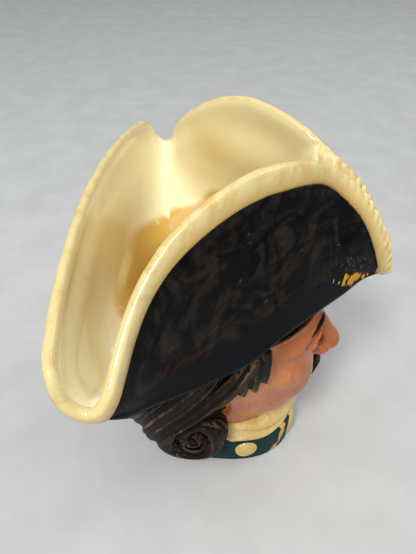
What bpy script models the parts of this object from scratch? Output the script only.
"""Glazed earthenware jug: a gentleman's head in a cocked hat whose brim is the jug's mouth.

Metres, +Z up, origin at the middle of the foot, the face towards -Y.
One hollow casting: foot and collar, cravat, head, hair, hat and a plain loop handle.
"""
import math

import bmesh
import bpy
from mathutils import Matrix, Vector

MM = 0.001

# Driving sizes
JUG_HEIGHT = 0.1710          # table to the highest point of the rim
FOOT_HALF_WIDTH = 0.0250     # oval foot, across
FOOT_HALF_LENGTH = 0.0350    # oval foot, front to back
COLLAR_HEIGHT = 0.0130       # coat collar band that the foot carries
RIM_THICKNESS = 0.0037       # rounded edge of the hat, across
TRIM_RISE = 0.0009           # how far the braid stands out from the black panel
WALL = 0.0046                # cast wall of the hat and the head
FLOOR = 0.0070               # cast floor above the foot
MOUTH_CLEAR = 0.0400         # how far the hollow's cutter runs out above the rim
HANDLE_REACH = 0.0660        # handle's centre line from the middle of the jug
HANDLE_WIDTH = 0.0100        # handle's round section
HANDLE_TOP = 0.0960          # height of the handle's upper root
HANDLE_FOOT = 0.0300         # height of the handle's lower root
HANDLE_BACK = 0.0080         # handle's plane, behind the middle of the jug
CLAY_GRAIN = 0.0014          # cell size that melts the head's pieces together
HEAD_FACES = 4300            # triangles kept on the head

SCALE = JUG_HEIGHT / 0.1710  # free forms keep their proportions to the height

# The hat's half on the figure's left, front tip to back middle, millimetres at the default height:
# place on the lower fold, place on the rim's crest, braid depth, roll radius of the fold
HAT = (
    ((3.2, -60.4, 115.6), (3.2, -62.8, 119.0), 2.6, 1.6),
    ((8.5, -51.0, 115.4), (3.6, -57.3, 132.6), 4.2, 2.4),
    ((18.0, -41.2, 115.2), (4.0, -45.8, 149.7), 5.0, 3.4),
    ((25.0, -33.5, 115.2), (4.8, -35.7, 158.8), 5.6, 4.0),
    ((31.0, -27.0, 115.0), (7.8, -28.9, 163.5), 6.2, 4.0),
    ((36.0, -21.5, 114.6), (13.0, -22.4, 167.2), 6.8, 4.0),
    ((41.0, -15.5, 113.2), (19.5, -14.8, 169.6), 7.4, 4.0),
    ((46.5, -7.0, 108.5), (26.5, -6.5, 171.0), 7.8, 4.0),
    ((50.5, 2.7, 105.0), (33.5, 1.8, 169.6), 8.0, 4.0),
    ((54.0, 9.2, 104.4), (40.0, 10.2, 165.8), 8.0, 4.0),
    ((58.0, 15.5, 105.0), (46.5, 18.0, 160.0), 7.8, 4.0),
    ((62.0, 20.8, 106.5), (54.0, 24.0, 152.8), 7.4, 4.0),
    ((66.0, 24.2, 109.2), (62.5, 27.8, 145.4), 7.0, 3.8),
    ((70.5, 26.6, 113.2), (71.0, 29.8, 139.0), 6.4, 3.4),
    ((74.6, 28.6, 117.8), (77.2, 31.0, 135.0), 5.8, 2.8),
    ((77.2, 31.6, 121.2), (80.2, 33.6, 131.0), 5.4, 2.4),
    ((78.0, 36.6, 122.6), (81.0, 37.0, 129.8), 5.2, 2.4),
    ((77.0, 41.4, 121.6), (80.8, 40.8, 133.2), 5.4, 2.4),
    ((74.4, 45.0, 118.6), (78.6, 43.4, 139.2), 5.8, 2.8),
    ((70.4, 47.4, 114.8), (74.0, 45.4, 142.4), 6.2, 3.4),
    ((64.0, 49.8, 111.2), (66.0, 46.8, 144.4), 6.6, 3.8),
    ((53.0, 52.2, 108.2), (55.0, 48.2, 146.4), 7.0, 4.0),
    ((40.0, 54.4, 106.0), (42.0, 49.4, 148.2), 7.2, 4.0),
    ((27.0, 55.9, 104.8), (28.0, 50.3, 149.6), 7.2, 4.0),
    ((14.0, 56.8, 104.2), (14.0, 51.0, 150.4), 7.2, 4.0),
    ((0.0, 57.0, 104.0), (0.0, 51.2, 150.6), 7.2, 4.0),
)
FIRST_OPEN = 4               # hat row where the two front edges part and the mouth opens
GUTTER = (11, 16, 21)        # hat rows where the side gutter starts, turns at its lip and ends
HAT_STEPS = 2                # columns to each hat row

# Middle line of the side gutter from the head to its lip, millimetres: underside and floor
KEEL = ((46.5, 37.2, 105.0), (53.5, 37.4, 107.0), (60.0, 37.4, 109.8), (65.6, 37.2, 113.2),
        (70.8, 37.0, 117.4), (74.8, 36.8, 121.0))
TROUGH = ((47.0, 37.2, 110.4), (53.5, 37.2, 112.6), (59.5, 37.2, 115.6), (65.0, 37.1, 119.2),
          (69.6, 37.0, 123.0), (72.4, 36.9, 126.2))

# Inside of the head below the hat: height, half width, front, back, millimetres
HOLLOW = (
    (101.0, 31.0, -31.0, 38.5),
    (88.0, 31.0, -32.0, 39.0),
    (72.0, 30.5, -32.5, 39.5),
    (56.0, 26.5, -31.0, 37.5),
    (42.0, 22.0, -25.6, 33.0),
    (28.0, 19.5, -26.0, 28.5),
    (14.0, 19.0, -28.5, 28.5),
)


def metres(point):
    return Vector(point) * MM * SCALE


def clear_scene():
    for thing in list(bpy.data.objects):
        bpy.data.objects.remove(thing, do_unlink=True)


def new_collection(name):
    collection = bpy.data.collections.new(name)
    bpy.context.scene.collection.children.link(collection)
    return collection


def glaze(name, colour, roughness):
    material = bpy.data.materials.new(name)
    material.use_nodes = True
    shader = material.node_tree.nodes["Principled BSDF"]
    shader.inputs["Base Color"].default_value = (*colour, 1.0)
    shader.inputs["Roughness"].default_value = roughness
    shader.inputs["Metallic"].default_value = 0.0
    return material


def add_object(name, mesh, collection):
    thing = bpy.data.objects.new(name, mesh)
    collection.objects.link(thing)
    return thing


def as_mesh(name, bm, collection):
    bmesh.ops.recalc_face_normals(bm, faces=bm.faces)
    mesh = bpy.data.meshes.new(name)
    bm.to_mesh(mesh)
    bm.free()
    return add_object(name, mesh, collection)


def as_cutter(thing):
    thing.hide_render = True
    thing.display_type = "WIRE"
    return thing


# Small solids that the head is gathered from

def ball(bm, centre, half, turn=0.0, lean=0.0):
    """Adds an egg: its centre and half sizes in millimetres, turned about Z, then leant about X."""
    place = Matrix.Translation(metres(centre))
    place = place @ Matrix.Rotation(math.radians(turn), 4, "Z")
    place = place @ Matrix.Rotation(math.radians(lean), 4, "X")
    size = Matrix.Diagonal((*metres(half), 1.0))
    bmesh.ops.create_uvsphere(bm, u_segments=28, v_segments=18, radius=1.0, matrix=place @ size)


def both_sides(bm, centre, half, turn=0.0, lean=0.0):
    ball(bm, centre, half, turn, lean)
    x, y, z = centre
    ball(bm, (-x, y, z), half, -turn, lean)


def strand(name, points, collection):
    """Makes a round lock from points and radii in millimetres, with closed ends."""
    curve = bpy.data.curves.new(name, "CURVE")
    curve.dimensions = "3D"
    curve.bevel_depth = 1.0 * MM * SCALE
    curve.bevel_resolution = 4
    curve.resolution_u = 8
    curve.use_fill_caps = True
    spline = curve.splines.new("NURBS")
    spline.order_u = 3
    spline.use_endpoint_u = True
    spline.points.add(len(points) - 1)
    for knot, (x, y, z, radius) in zip(spline.points, points):
        knot.co = (*metres((x, y, z)), 1.0)
        knot.radius = radius
    thing = add_object(name, curve, collection)
    graph = bpy.context.evaluated_depsgraph_get()
    mesh = bpy.data.meshes.new_from_object(thing.evaluated_get(graph))
    bpy.data.objects.remove(thing, do_unlink=True)
    return mesh


def add_strand(bm, name, points, collection):
    mesh = strand(name, points, collection)
    part = bmesh.new()
    part.from_mesh(mesh)
    bmesh.ops.remove_doubles(part, verts=part.verts, dist=0.000001)
    part.to_mesh(mesh)
    part.free()
    bm.from_mesh(mesh)
    bpy.data.meshes.remove(mesh)


def add_strands(bm, name, points, collection):
    add_strand(bm, name + "_left", points, collection)
    mirrored = [(-x, y, z, radius) for x, y, z, radius in points]
    add_strand(bm, name + "_right", mirrored, collection)


def bridge(bm, rings, first_cap, last_cap):
    """Joins closed rings of equal count with faces, and closes the first and last with a fan.

    Points of one place are one corner. Where two columns run on the same line the skin is folded
    shut, so the two faces that would lie on each other are both left out.
    """
    corners = {}

    def corner(point):
        key = tuple(round(value, 5) for value in point)
        if key not in corners:
            corners[key] = bm.verts.new(point)
        return corners[key]

    rows = [[corner(point) for point in ring] for ring in rings]
    count = len(rows[0])
    faces = []
    for lower, upper in zip(rows, rows[1:]):
        for k in range(count):
            n = (k + 1) % count
            faces.append((lower[k], lower[n], upper[n]))
            faces.append((lower[k], upper[n], upper[k]))
    for row, cap in ((rows[0], first_cap), (rows[-1], last_cap)):
        if cap is not None:
            middle = bm.verts.new(cap)
            faces.extend((row[k], row[(k + 1) % count], middle) for k in range(count))
    faces = [face for face in faces if len(set(face)) == 3]
    seen = {}
    for face in faces:
        seen.setdefault(frozenset(face), []).append(face)
    for same in seen.values():
        if len(same) == 1:
            bm.faces.new(same[0])
    lone = [vert for vert in bm.verts if not vert.link_faces]
    bmesh.ops.delete(bm, geom=lone, context="VERTS")


def oval(z, half_width, front, back, count, power=2.3):
    """One level ring; front and back are the ring's own reach along Y."""
    ring = []
    middle = (front + back) / 2.0
    reach = (back - front) / 2.0
    for k in range(count):
        angle = 2.0 * math.pi * k / count
        c, s = math.cos(angle), math.sin(angle)
        x = half_width * math.copysign(abs(s) ** (2.0 / power), s)
        y = middle - reach * math.copysign(abs(c) ** (2.0 / power), c)
        ring.append(Vector((x, y, z)))
    return ring


# Foot, coat collar and neck

def make_foot(bm):
    """The oval foot with its collar band, drawn in a little at the cravat."""
    w, l = FOOT_HALF_WIDTH, FOOT_HALF_LENGTH
    top = COLLAR_HEIGHT
    edge = 0.0008
    rings = [
        oval(-0.004, w - edge, -l + edge, l - edge, 56),
        oval(0.0, w - edge, -l + edge, l - edge, 56),
        oval(edge, w, -l, l, 56),
        oval(top * 0.55, w + 0.0007, -l, l + 0.0007, 56),
        oval(top, w + 0.0004, -l + 0.0010, l + 0.0004, 56),
        oval(top + 0.004, w - 0.002, -l, l - 0.002, 56),
        oval(top + 0.020, w - 0.002, -l + 0.002, l - 0.002, 56),
    ]
    bridge(bm, rings, Vector((0, 0, -0.004)), Vector((0, 0, top + 0.020)))


def make_head(collection):
    """Head, hair, cravat and foot as overlapping clay pieces, melted into one skin."""
    bm = bmesh.new()
    make_foot(bm)

    # cravat: two soft rolls, the upper one proud at the throat, and a small knot
    ball(bm, (0, -0.5, 20.5), (26.2, 34.4, 9.0))
    ball(bm, (0, -1.0, 29.5), (25.6, 33.6, 9.0))
    ball(bm, (0, -33.0, 20.6), (8.4, 4.6, 7.2))
    both_sides(bm, (7.6, -33.0, 13.2), (4.6, 3.2, 6.2), turn=14.0)

    # coat buttons on the collar band, and the lapel's turned edge
    both_sides(bm, (23.6, -11.8, 7.6), (3.4, 5.0, 4.8))
    add_strands(bm, "lapel", ((22.2, -17.6, 15.4, 1.8), (19.6, -22.4, 9.0, 2.0),
                              (16.6, -26.6, 2.6, 1.6)), collection)

    # skull, jaw and the fuller lower face
    ball(bm, (0, 0.0, 84.0), (36.5, 39.0, 34.0))
    ball(bm, (0, -5.0, 66.0), (34.0, 36.0, 32.0))
    ball(bm, (0, -10.0, 52.0), (28.5, 30.0, 18.5))
    ball(bm, (0, 2.0, 40.0), (28.0, 31.0, 14.0))
    both_sides(bm, (16.0, -26.0, 68.0), (12.5, 11.0, 12.0))

    # a calm, plain face: brow, eyes in their lids, nose, mouth and chin
    add_strand(bm, "brow", ((-27.0, -26.0, 93.0, 2.8), (-15.0, -35.6, 97.0, 3.4), (0, -37.0, 95.0, 3.2),
                            (15.0, -35.6, 97.0, 3.4), (27.0, -26.0, 93.0, 2.8)), collection)
    both_sides(bm, (13.6, -33.6, 87.0), (7.4, 4.6, 4.2), turn=20.0)
    add_strand(bm, "nose", ((0, -37.4, 92.0, 3.6), (0, -41.6, 82.0, 4.2), (0, -45.6, 73.0, 5.2),
                            (0, -44.6, 68.6, 4.8)), collection)
    both_sides(bm, (5.0, -40.6, 69.2), (3.8, 4.4, 3.6))
    ball(bm, (0, -37.2, 61.0), (13.0, 3.6, 5.0))
    ball(bm, (0, -38.0, 57.6), (8.6, 3.6, 2.2))
    ball(bm, (0, -37.4, 53.4), (7.4, 3.8, 2.4))
    ball(bm, (0, -34.4, 44.4), (9.6, 6.4, 6.6))

    # moustache
    add_strands(bm, "moustache", ((0.8, -40.4, 61.6, 1.8), (6.0, -40.0, 61.0, 2.6),
                                  (12.0, -37.0, 58.6, 2.2), (16.4, -33.2, 57.2, 1.0)), collection)

    # hair: the mass behind the ears, then the locks that stand out of it
    ball(bm, (0, 13.5, 72.0), (38.0, 34.0, 42.0))
    add_strands(bm, "side_lock", ((37.6, -14.0, 106.0, 4.0), (35.6, -12.4, 96.0, 4.4),
                                  (34.4, -9.6, 84.0, 3.6), (33.2, -9.0, 75.0, 1.4)), collection)
    add_strands(bm, "long_lock", ((39.0, -4.0, 104.0, 5.4), (39.4, 1.0, 90.0, 6.4),
                                  (37.6, 9.0, 74.0, 7.0), (36.0, 15.0, 58.0, 7.0),
                                  (33.0, 13.0, 40.0, 6.6)), collection)
    add_strands(bm, "second_lock", ((39.0, 12.0, 104.0, 5.0), (40.4, 20.0, 90.0, 6.4),
                                    (38.4, 28.0, 74.0, 7.2), (35.0, 31.0, 60.0, 7.0)), collection)
    add_strands(bm, "third_lock", ((33.0, 28.0, 102.0, 5.0), (33.0, 36.0, 88.0, 6.4),
                                   (28.0, 42.0, 72.0, 7.2), (23.0, 42.0, 56.0, 7.0)), collection)
    add_strand(bm, "back_lock", ((0, 42.0, 104.0, 5.0), (3.0, 46.0, 90.0, 7.0),
                                 (-2.0, 47.0, 72.0, 8.0), (0, 43.0, 54.0, 7.4)), collection)
    add_strands(bm, "back_side_lock", ((14.0, 40.0, 104.0, 5.0), (15.0, 44.4, 88.0, 6.6),
                                       (12.0, 45.6, 70.0, 7.4), (10.0, 42.0, 52.0, 7.0)), collection)

    # the large side curl, a flat roll with a raised coil, and the stacked curls behind it
    both_sides(bm, (23.0, 14.0, 28.6), (11.0, 18.0, 18.6))
    for side in (1.0, -1.0):
        coil = []
        for k in range(15):
            angle = math.radians(60.0 + k * 38.0)
            reach = 15.0 - 0.86 * k
            coil.append((side * (32.4 + 0.16 * k), 14.0 - reach * math.cos(angle),
                         29.4 + reach * math.sin(angle), 3.6 - 0.08 * k))
        add_strand(bm, "coil", coil, collection)
    both_sides(bm, (25.0, 31.0, 29.0), (9.6, 9.6, 9.0))
    both_sides(bm, (27.6, 34.6, 44.4), (10.4, 9.2, 8.6))
    both_sides(bm, (29.6, 35.0, 59.0), (10.4, 9.2, 8.6))
    both_sides(bm, (12.0, 38.0, 26.0), (10.0, 8.6, 9.4))
    ball(bm, (0, 31.0, 34.0), (15.0, 11.0, 15.0))
    both_sides(bm, (13.0, 41.0, 42.0), (10.0, 9.0, 9.0))

    # the head's stub that runs up into the hat
    ball(bm, (0, 4.6, 102.0), (38.0, 43.0, 12.0))

    mesh = bpy.data.meshes.new("head")
    bm.to_mesh(mesh)
    bm.free()
    head = add_object("head", mesh, collection)
    melt = head.modifiers.new("melt", "REMESH")
    melt.mode = "VOXEL"
    melt.voxel_size = CLAY_GRAIN * SCALE
    melt.adaptivity = 0.0
    ease = head.modifiers.new("ease", "SMOOTH")
    ease.factor = 0.5
    ease.iterations = 2
    thin = head.modifiers.new("thin", "DECIMATE")
    graph = bpy.context.evaluated_depsgraph_get()
    thin.ratio = 1.0
    count = sum(len(f.vertices) - 2 for f in head.evaluated_get(graph).to_mesh().polygons)
    thin.ratio = min(1.0, HEAD_FACES / count)
    return head


# Hat

def spread(rows, steps):
    """Reads a smooth curve through the rows, the given number of columns to each row."""
    first = [2 * a - b for a, b in zip(rows[0], rows[1])]
    last = [2 * a - b for a, b in zip(rows[-1], rows[-2])]
    rows = [first, *[list(row) for row in rows], last]
    out = []
    for i in range(1, len(rows) - 2):
        for k in range(steps):
            t = k / steps
            p, q, r, s = rows[i - 1], rows[i], rows[i + 1], rows[i + 2]
            out.append([0.5 * (2 * b + (c - a) * t + (2 * a - 5 * b + 4 * c - d) * t * t
                               + (3 * b - a - 3 * c + d) * t ** 3) for a, b, c, d in zip(p, q, r, s)])
    out.append(rows[-2])
    return out


def hat_columns():
    """Fold, crest, face normal, direction down the panel, braid depth and roll at each column."""
    flat = [(*fold, *crest, depth, roll) for fold, crest, depth, roll in HAT]
    rows = spread(flat, HAT_STEPS)
    folds = [metres(row[0:3]) for row in rows]
    crests = [metres(row[3:6]) for row in rows]
    depths = [row[6] * MM * SCALE for row in rows]
    rolls = [row[7] * MM * SCALE for row in rows]
    folds[-1].x = 0.0
    crests[-1].x = 0.0
    normals = []
    for k in range(len(rows)):
        before, after = max(k - 1, 0), min(k + 1, len(rows) - 1)
        along = (crests[after] - crests[before]) + (folds[after] - folds[before]) * 0.5
        down = (folds[k] - crests[k]).normalized()
        normal = down.cross(along).normalized()
        normals.append(normal)
    normals[-1] = Vector((0.0, normals[-1].y, normals[-1].z)).normalized()
    return folds, crests, normals, depths, rolls


def gutter_line(line, k):
    """The point of a gutter's middle line that column k hangs on, or None outside the gutter."""
    start, lip, end = (row * HAT_STEPS for row in GUTTER)
    if k < start or k > end:
        return None
    share = (k - start) / (lip - start) if k <= lip else (end - k) / (end - lip)
    points = spread(line, HAT_STEPS)
    return metres(points[round(share * (len(points) - 1))])


def around(k, count):
    """Angle about the head of column k, from the front; the gutter's columns share one angle."""
    start, lip, end = (row * HAT_STEPS for row in GUTTER)
    side = math.radians(122.0)
    if k <= start:
        return side * k / start
    if k <= end:
        return side
    return side + (math.pi - side) * (k - end) / (count - 1 - end)


def level(vector):
    flat = Vector((vector.x, vector.y, 0.0))
    return flat.normalized()


def mirror_ring(half):
    return half + [Vector((-p.x, p.y, p.z)) for p in reversed(half)]


def make_hat(collection):
    """The cocked hat, solid: underside, rolled fold, panels, braid and rim, closed across the top."""
    folds, crests, normals, depths, rolls = hat_columns()
    r = RIM_THICKNESS / 2.0
    names = ("root", "under", "low", "fold", "side", "shoulder", "panel", "step", "braid_low",
             "round_out", "crest", "round_in", "top")
    rings = {name: [] for name in names}
    count = len(folds)
    for k in range(count):
        fold, crest, normal, roll = folds[k], crests[k], normals[k], rolls[k]
        down = (fold - crest).normalized()
        out = level(normal)
        up = Vector((0.0, 0.0, 1.0))
        centre = fold - out * (roll * 0.66) + up * (roll * 0.75)
        middle = crest + down * r
        face = middle + normal * r
        span = (fold - crest).length
        depth = min(depths[k], span * 0.6)
        braid_end = face + down * (depth - r)
        panel_top = crest + down * (depth + 0.0011) + normal * (r - TRIM_RISE)
        shoulder = centre + (out * 0.86 + up * 0.51) * roll
        angle = around(k, count)
        root = metres((36.5 * math.sin(angle), 5.0 - 41.0 * math.cos(angle), 104.0))
        keel = gutter_line(KEEL, k)
        if keel is None:
            keel = root.lerp(centre - up * roll, 0.6)
        rings["root"].append(root)
        rings["under"].append(keel)
        rings["low"].append(centre - up * roll)
        rings["fold"].append(centre + (out * 0.66 - up * 0.75) * roll)
        rings["side"].append(centre + out * roll)
        rings["shoulder"].append(shoulder)
        bulge = min(span * 0.022, 0.0012)
        rings["panel"].append(shoulder.lerp(panel_top, 0.5) + normal * bulge)
        rings["step"].append(panel_top)
        rings["braid_low"].append(braid_end + down * 0.0002 - normal * 0.0002)
        rings["round_out"].append(middle + (normal * 0.8 - down * 0.6) * r)
        rings["crest"].append(crest)
        rings["round_in"].append(middle + (-normal * 0.8 - down * 0.6) * r)
        inner = middle - normal * r
        rings["top"].append(Vector((0.0, inner.y, inner.z - 0.0006)))
    for name in names:
        rings[name][-1].x = 0.0
    for k in range(count):
        if rings["round_in"][k].x < 0.0006:
            rings["round_in"][k].x = 0.0006
    rings["round_in"][-1].x = 0.0
    bm = bmesh.new()
    loops = [mirror_ring(rings[name]) for name in names]
    bridge(bm, loops, Vector((0.0, 0.002, 0.1050)) * SCALE, None)
    return as_mesh("hat", bm, collection)


def make_hollow(collection):
    """The jug's inside: from the floor up the head, out along the brim's gutters and out of the mouth."""
    folds, crests, normals, depths, rolls = hat_columns()
    r = RIM_THICKNESS / 2.0
    count = len(folds)
    start = FIRST_OPEN * HAT_STEPS
    up = Vector((0.0, 0.0, 1.0))
    names = ("sky", "lip", "wall_high", "wall_low", "gutter", "trough", "brim")
    rings = {name: [] for name in names}
    for k in range(count):
        fold, crest, normal, roll = folds[k], crests[k], normals[k], rolls[k]
        down = (fold - crest).normalized()
        out = level(normal)
        centre = fold - out * (roll * 0.66) + up * (roll * 0.75)
        inner = crest + down * r - normal * r
        shell = max(WALL * 0.85, roll + 0.0006)
        gutter = fold - out * (shell + roll * 0.3) + up * (shell + 0.0006)
        angle = around(k, count)
        wide = 0.0360 * SCALE - WALL
        deep = 0.0400 * SCALE - WALL
        brim = Vector((wide * math.sin(angle), 0.004 * SCALE - deep * math.cos(angle), 0.1085 * SCALE))
        trough = gutter_line(TROUGH, k)
        if k < start:
            # under the closed front edges the hollow ends in a ridge on the middle plane
            share = k / start
            ridge = Vector((0.0, crests[start].y * share + (-0.0490 * SCALE) * (1.0 - share),
                            (0.1230 + (0.1585 - 0.1230) * share ** 0.8) * SCALE))
            low = Vector((max(gutter.x, 0.0006), gutter.y, gutter.z))
            low.y = max(low.y, -0.0510 * SCALE)
            rings["sky"].append(ridge)
            rings["lip"].append(ridge)
            rings["wall_high"].append(ridge.lerp(low, 0.25))
            rings["wall_low"].append(ridge.lerp(low, 0.65))
            rings["gutter"].append(low)
            rings["trough"].append(low.lerp(brim, 0.5))
            rings["brim"].append(brim)
            continue
        if k == start:
            inner = Vector((0.0, inner.y, inner.z - 0.002 * SCALE))
        rings["sky"].append(inner + up * MOUTH_CLEAR)
        rings["lip"].append(inner)
        lining = WALL - 2.0 * r + 0.0004
        high = inner.lerp(gutter, 0.33) - normal * max(lining, 0.0) * 0.6
        low = inner.lerp(gutter, 0.7) - normal * max(lining, 0.0) * 0.6
        rings["wall_high"].append(high)
        rings["wall_low"].append(low)
        rings["gutter"].append(gutter)
        rings["trough"].append(gutter.lerp(brim, 0.5) if trough is None else trough)
        rings["brim"].append(brim)
    for name in names:
        rings[name][-1].x = 0.0
    for name in ("gutter", "trough", "brim", "wall_high", "wall_low"):
        rings[name][0].x = 0.0
    loops = [mirror_ring(rings[name]) for name in names]
    size = len(loops[0])
    for z, half_width, front, back in HOLLOW:
        ring = []
        for k in range(size):
            angle = around(min(k, size - 1 - k), count)
            side = 1.0 if k < count else -1.0
            x = side * half_width * math.sin(angle)
            if k in (0, count - 1, count, size - 1):
                x = 0.0
            y = (front + back) / 2.0 - (back - front) / 2.0 * math.cos(angle)
            ring.append(metres((x, y, z)))
        loops.append(ring)
    foot = [Vector((p.x * 0.86, p.y * 0.86, FLOOR)) for p in loops[-1]]
    loops.append(foot)
    bm = bmesh.new()
    bridge(bm, loops, None, Vector((0.0, 0.0, FLOOR)))
    loose = [edge for edge in bm.edges if len(edge.link_faces) == 1]
    bmesh.ops.holes_fill(bm, edges=loose, sides=0)
    bmesh.ops.triangulate(bm, faces=bm.faces)
    return as_cutter(as_mesh("hollow", bm, collection))


def make_handle(collection):
    """A plain loop from the back of the head to the collar, on the figure's left."""
    top, foot, reach, back = HANDLE_TOP, HANDLE_FOOT, HANDLE_REACH, HANDLE_BACK
    curve = bpy.data.curves.new("handle", "CURVE")
    curve.dimensions = "3D"
    curve.bevel_depth = HANDLE_WIDTH / 2.0
    curve.bevel_resolution = 3
    curve.resolution_u = 5
    curve.use_fill_caps = True
    spline = curve.splines.new("NURBS")
    spline.order_u = 3
    spline.use_endpoint_u = True
    rise = top - foot
    route = (
        (0.0320, top - 0.003), (reach * 0.80, top + 0.001), (reach, top - rise * 0.16),
        (reach * 1.01, top - rise * 0.42), (reach * 0.86, top - rise * 0.70),
        (reach * 0.66, foot + rise * 0.10), (0.0270, foot - 0.002),
    )
    spline.points.add(len(route) - 1)
    for knot, (x, z) in zip(spline.points, route):
        knot.co = (x, back, z, 1.0)
    thing = add_object("handle_path", curve, collection)
    graph = bpy.context.evaluated_depsgraph_get()
    mesh = bpy.data.meshes.new_from_object(thing.evaluated_get(graph))
    part = bmesh.new()
    part.from_mesh(mesh)
    bmesh.ops.remove_doubles(part, verts=part.verts, dist=0.000001)
    bmesh.ops.recalc_face_normals(part, faces=part.faces)
    part.to_mesh(mesh)
    part.free()
    bpy.data.objects.remove(thing, do_unlink=True)
    return add_object("handle", mesh, collection)


def join(base, cutter, operation):
    cut = base.modifiers.new(cutter.name, "BOOLEAN")
    cut.operation = operation
    cut.solver = "EXACT"
    cut.object = cutter


def main():
    clear_scene()
    jug = new_collection("jug")
    cutters = new_collection("cutters")
    head = make_head(cutters)
    hat = make_hat(cutters)
    handle = make_handle(cutters)
    hollow = make_hollow(cutters)
    bm = bmesh.new()
    below = Matrix.Translation((0.0, 0.0, -0.010)) @ Matrix.Diagonal((0.200, 0.200, 0.020, 1.0))
    bmesh.ops.create_cube(bm, size=1.0, matrix=below)
    table = as_cutter(as_mesh("table", bm, cutters))
    for thing in (head, hat, handle):
        as_cutter(thing)

    graph = bpy.context.evaluated_depsgraph_get()
    mesh = bpy.data.meshes.new_from_object(head.evaluated_get(graph))
    mesh.name = "character_jug"
    node = add_object("character_jug", mesh, jug)
    mesh.materials.clear()
    mesh.materials.append(glaze("glazed_earthenware", (0.80, 0.66, 0.40), 0.12))
    join(node, table, "DIFFERENCE")
    join(node, handle, "UNION")
    join(node, hat, "UNION")
    join(node, hollow, "DIFFERENCE")
    mesh.shade_smooth()
    mesh.set_sharp_from_angle(angle=math.radians(40.0))


main()
